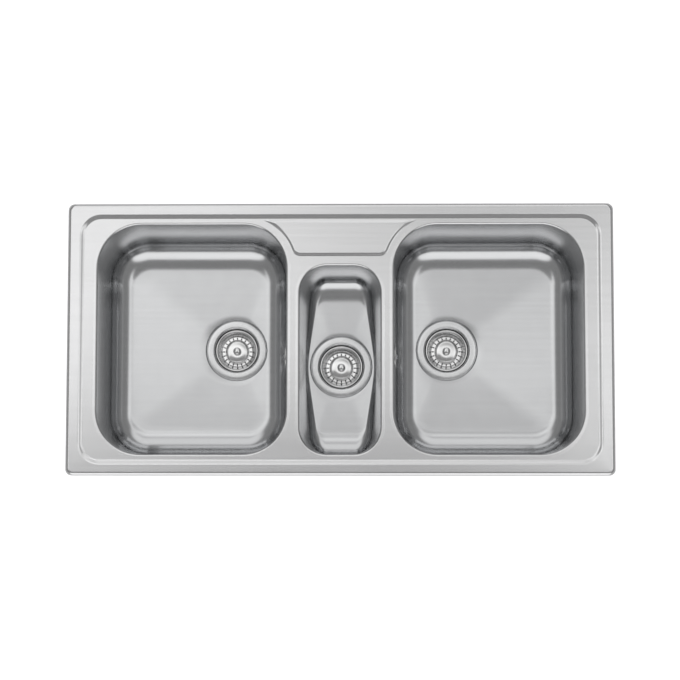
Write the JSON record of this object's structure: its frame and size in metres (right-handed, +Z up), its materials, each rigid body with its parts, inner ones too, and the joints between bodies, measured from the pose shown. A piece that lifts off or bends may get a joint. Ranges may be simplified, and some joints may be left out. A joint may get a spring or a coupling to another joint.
{
  "type": "inset kitchen sink",
  "caption": "Inset stainless kitchen sink with large bowls either side of a small one, basket wastes, overflows and rim clips.",
  "frame": {"origin": "centre of the worktop cut-out, at the height of the worktop's surface", "axes": "+X to the right along the sink, +Y to the back where the tap ledge is, +Z up"},
  "size_m": [1, 0.5, 0.2858],
  "materials": {
    "brushed_stainless": "satin brushed",
    "polished_stainless": "polished",
    "zinc_plated_steel": "zinc plated",
    "grey_foam": "closed-cell foam",
    "black_rubber": "matt",
    "white_plastic": "moulded",
    "grey_hose": "ribbed"
  },
  "bodies": {
    "sink": {"back_clip_rail": "zinc_plated_steel", "centre_bowl": "brushed_stainless", "centre_waste_body": "white_plastic", "centre_waste_cup": "polished_stainless", "centre_waste_gasket": "black_rubber", "centre_waste_screw": "zinc_plated_steel", "front_clip_rail": "zinc_plated_steel", "left_bowl": "brushed_stainless", "left_clip_rail": "zinc_plated_steel", "left_overflow_elbow": "white_plastic", "left_overflow_gasket": "black_rubber", "left_overflow_hose": "grey_hose", "left_overflow_rosette": "polished_stainless", "left_overflow_screw": "zinc_plated_steel", "left_waste_body": "white_plastic", "left_waste_cup": "polished_stainless", "left_waste_gasket": "black_rubber", "left_waste_screw": "zinc_plated_steel", "right_bowl": "brushed_stainless", "right_clip_rail": "zinc_plated_steel", "right_overflow_elbow": "white_plastic", "right_overflow_gasket": "black_rubber", "right_overflow_hose": "grey_hose", "right_overflow_rosette": "polished_stainless", "right_overflow_screw": "zinc_plated_steel", "right_waste_body": "white_plastic", "right_waste_cup": "polished_stainless", "right_waste_gasket": "black_rubber", "right_waste_screw": "zinc_plated_steel", "rim_seal": "grey_foam", "sink_deck": "brushed_stainless"},
    "left_basket_set": {"left_basket": "polished_stainless", "left_basket_knob": "polished_stainless", "left_plug_seal": "black_rubber"},
    "centre_basket_set": {"centre_basket": "polished_stainless", "centre_basket_knob": "polished_stainless", "centre_plug_seal": "black_rubber"},
    "right_basket_set": {"right_basket": "polished_stainless", "right_basket_knob": "polished_stainless", "right_plug_seal": "black_rubber"},
    "front_clip_1_body": {"front_clip_1": "zinc_plated_steel"},
    "front_clip_screw_1_body": {"front_clip_screw_1": "zinc_plated_steel"},
    "front_clip_2_body": {"front_clip_2": "zinc_plated_steel"},
    "front_clip_screw_2_body": {"front_clip_screw_2": "zinc_plated_steel"},
    "front_clip_3_body": {"front_clip_3": "zinc_plated_steel"},
    "front_clip_screw_3_body": {"front_clip_screw_3": "zinc_plated_steel"},
    "back_clip_1_body": {"back_clip_1": "zinc_plated_steel"},
    "back_clip_screw_1_body": {"back_clip_screw_1": "zinc_plated_steel"},
    "back_clip_2_body": {"back_clip_2": "zinc_plated_steel"},
    "back_clip_screw_2_body": {"back_clip_screw_2": "zinc_plated_steel"},
    "back_clip_3_body": {"back_clip_3": "zinc_plated_steel"},
    "back_clip_screw_3_body": {"back_clip_screw_3": "zinc_plated_steel"},
    "left_clip_1_body": {"left_clip_1": "zinc_plated_steel"},
    "left_clip_screw_1_body": {"left_clip_screw_1": "zinc_plated_steel"},
    "right_clip_1_body": {"right_clip_1": "zinc_plated_steel"},
    "right_clip_screw_1_body": {"right_clip_screw_1": "zinc_plated_steel"}
  },
  "joints": [
    {"name": "left_basket_lift", "type": "slide", "parent": "sink", "child": "left_basket_set", "axis": [0, 0, 1], "range_m": [0, 0.24]},
    {"name": "centre_basket_lift", "type": "slide", "parent": "sink", "child": "centre_basket_set", "axis": [0, 0, 1], "range_m": [0, 0.2]},
    {"name": "right_basket_lift", "type": "slide", "parent": "sink", "child": "right_basket_set", "axis": [0, 0, 1], "range_m": [0, 0.24]},
    {"name": "front_clip_1_swivel", "type": "hinge", "parent": "sink", "child": "front_clip_1_body", "pos_m": [-0.38, -0.223, -0.03], "axis": [0, 0, 1], "range_deg": [0, 90]},
    {"name": "front_clip_screw_1_turn", "type": "hinge", "parent": "sink", "child": "front_clip_screw_1_body", "pos_m": [-0.38, -0.223, -0.03], "axis": [0, 0, 1], "continuous": true},
    {"name": "front_clip_2_swivel", "type": "hinge", "parent": "sink", "child": "front_clip_2_body", "pos_m": [0, -0.223, -0.03], "axis": [0, 0, 1], "range_deg": [0, 90]},
    {"name": "front_clip_screw_2_turn", "type": "hinge", "parent": "sink", "child": "front_clip_screw_2_body", "pos_m": [0, -0.223, -0.03], "axis": [0, 0, 1], "continuous": true},
    {"name": "front_clip_3_swivel", "type": "hinge", "parent": "sink", "child": "front_clip_3_body", "pos_m": [0.38, -0.223, -0.03], "axis": [0, 0, 1], "range_deg": [0, 90]},
    {"name": "front_clip_screw_3_turn", "type": "hinge", "parent": "sink", "child": "front_clip_screw_3_body", "pos_m": [0.38, -0.223, -0.03], "axis": [0, 0, 1], "continuous": true},
    {"name": "back_clip_1_swivel", "type": "hinge", "parent": "sink", "child": "back_clip_1_body", "pos_m": [0.38, 0.223, -0.03], "axis": [0, 0, 1], "range_deg": [0, 90]},
    {"name": "back_clip_screw_1_turn", "type": "hinge", "parent": "sink", "child": "back_clip_screw_1_body", "pos_m": [0.38, 0.223, -0.03], "axis": [0, 0, 1], "continuous": true},
    {"name": "back_clip_2_swivel", "type": "hinge", "parent": "sink", "child": "back_clip_2_body", "pos_m": [0, 0.223, -0.03], "axis": [0, 0, 1], "range_deg": [0, 90]},
    {"name": "back_clip_screw_2_turn", "type": "hinge", "parent": "sink", "child": "back_clip_screw_2_body", "pos_m": [0, 0.223, -0.03], "axis": [0, 0, 1], "continuous": true},
    {"name": "back_clip_3_swivel", "type": "hinge", "parent": "sink", "child": "back_clip_3_body", "pos_m": [-0.38, 0.223, -0.03], "axis": [0, 0, 1], "range_deg": [0, 90]},
    {"name": "back_clip_screw_3_turn", "type": "hinge", "parent": "sink", "child": "back_clip_screw_3_body", "pos_m": [-0.38, 0.223, -0.03], "axis": [0, 0, 1], "continuous": true},
    {"name": "left_clip_1_swivel", "type": "hinge", "parent": "sink", "child": "left_clip_1_body", "pos_m": [-0.473, 0, -0.03], "axis": [0, 0, 1], "range_deg": [0, 90]},
    {"name": "left_clip_screw_1_turn", "type": "hinge", "parent": "sink", "child": "left_clip_screw_1_body", "pos_m": [-0.473, 0, -0.03], "axis": [0, 0, 1], "continuous": true},
    {"name": "right_clip_1_swivel", "type": "hinge", "parent": "sink", "child": "right_clip_1_body", "pos_m": [0.473, 0, -0.03], "axis": [0, 0, 1], "range_deg": [0, 90]},
    {"name": "right_clip_screw_1_turn", "type": "hinge", "parent": "sink", "child": "right_clip_screw_1_body", "pos_m": [0.473, 0, -0.03], "axis": [0, 0, 1], "continuous": true}
  ]
}
